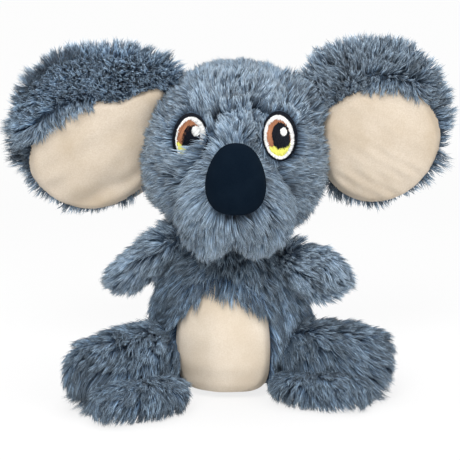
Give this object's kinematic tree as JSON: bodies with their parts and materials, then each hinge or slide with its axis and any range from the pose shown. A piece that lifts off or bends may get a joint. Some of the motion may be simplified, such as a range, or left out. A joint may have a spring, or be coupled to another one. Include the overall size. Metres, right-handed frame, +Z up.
{
  "type": "plush koala",
  "caption": "Sitting plush koala with large round ears, embroidered eyes, a padded nose, a smooth belly panel and soft limbs that bend at their seams.",
  "frame": {"origin": "middle of the seat, on the surface that the koala sits on", "axes": "+Z up, -Y the way the koala faces, +X towards the koala's own left, along the spread of its ears"},
  "size_m": [0.2607, 0.1349, 0.2074],
  "materials": {
    "long_plush": "matte",
    "smooth_plush": "matte",
    "nose_plush": "matte",
    "wadding": "matte",
    "thread_black": "satin",
    "thread_white": "satin",
    "thread_orange": "satin",
    "thread_yellow": "satin"
  },
  "bodies": {
    "torso": {"torso_back_skin": "long_plush", "torso_front_skin": "long_plush", "belly_panel": "smooth_plush", "torso_filling": "wadding"},
    "head": {"head_skin": "long_plush", "head_filling": "wadding", "muzzle_skin": "long_plush", "nose_cover": "nose_plush", "nose_filling": "wadding", "left_eye_outline": "thread_black", "left_eye_white": "thread_white", "left_eye_iris": "thread_orange", "left_eye_glow": "thread_yellow", "left_eye_pupil": "thread_black", "left_eye_glint": "thread_white", "right_eye_outline": "thread_black", "right_eye_white": "thread_white", "right_eye_iris": "thread_orange", "right_eye_glow": "thread_yellow", "right_eye_pupil": "thread_black", "right_eye_glint": "thread_white"},
    "left_ear": {"left_ear_skin": "long_plush", "left_ear_lining": "smooth_plush", "left_ear_filling": "wadding"},
    "right_ear": {"right_ear_skin": "long_plush", "right_ear_lining": "smooth_plush", "right_ear_filling": "wadding"},
    "left_arm": {"left_arm_skin": "long_plush", "left_arm_filling": "wadding"},
    "right_arm": {"right_arm_skin": "long_plush", "right_arm_filling": "wadding"},
    "left_leg": {"left_leg_skin": "long_plush", "left_leg_filling": "wadding", "left_foot_skin": "long_plush", "left_foot_filling": "wadding"},
    "right_leg": {"right_leg_skin": "long_plush", "right_leg_filling": "wadding", "right_foot_skin": "long_plush", "right_foot_filling": "wadding"}
  },
  "joints": [
    {"name": "neck_turn", "type": "hinge", "parent": "torso", "child": "head", "pos_m": [0.0032, 0, 0.092], "axis": [0, 0, 1], "range_deg": [-20, 20], "stiffness_Nm_per_rad": 0.3},
    {"name": "left_ear_fold", "type": "hinge", "parent": "head", "child": "left_ear", "pos_m": [0.0562, 0.009, 0.157], "axis": [0, 0, 1], "range_deg": [-20, 20], "stiffness_Nm_per_rad": 0.08},
    {"name": "right_ear_fold", "type": "hinge", "parent": "head", "child": "right_ear", "pos_m": [-0.0498, 0.009, 0.153], "axis": [0, 0, 1], "range_deg": [-20, 20], "stiffness_Nm_per_rad": 0.08},
    {"name": "left_arm_lift", "type": "hinge", "parent": "torso", "child": "left_arm", "pos_m": [0.03313, -0.01576, 0.07905], "axis": [0, -1, 0], "range_deg": [-15, 20], "stiffness_Nm_per_rad": 0.1},
    {"name": "right_arm_lift", "type": "hinge", "parent": "torso", "child": "right_arm", "pos_m": [-0.03619, -0.00602, 0.08823], "axis": [0, 1, 0], "range_deg": [-5, 35], "stiffness_Nm_per_rad": 0.1},
    {"name": "left_leg_lift", "type": "hinge", "parent": "torso", "child": "left_leg", "pos_m": [0.0354, -0.02113, 0.025], "axis": [-0.1736, -0.9848, 0], "range_deg": [0, 20], "stiffness_Nm_per_rad": 0.2},
    {"name": "right_leg_lift", "type": "hinge", "parent": "torso", "child": "right_leg", "pos_m": [-0.04167, -0.02343, 0.025], "axis": [-0.6157, 0.788, 0], "range_deg": [0, 20], "stiffness_Nm_per_rad": 0.2}
  ]
}
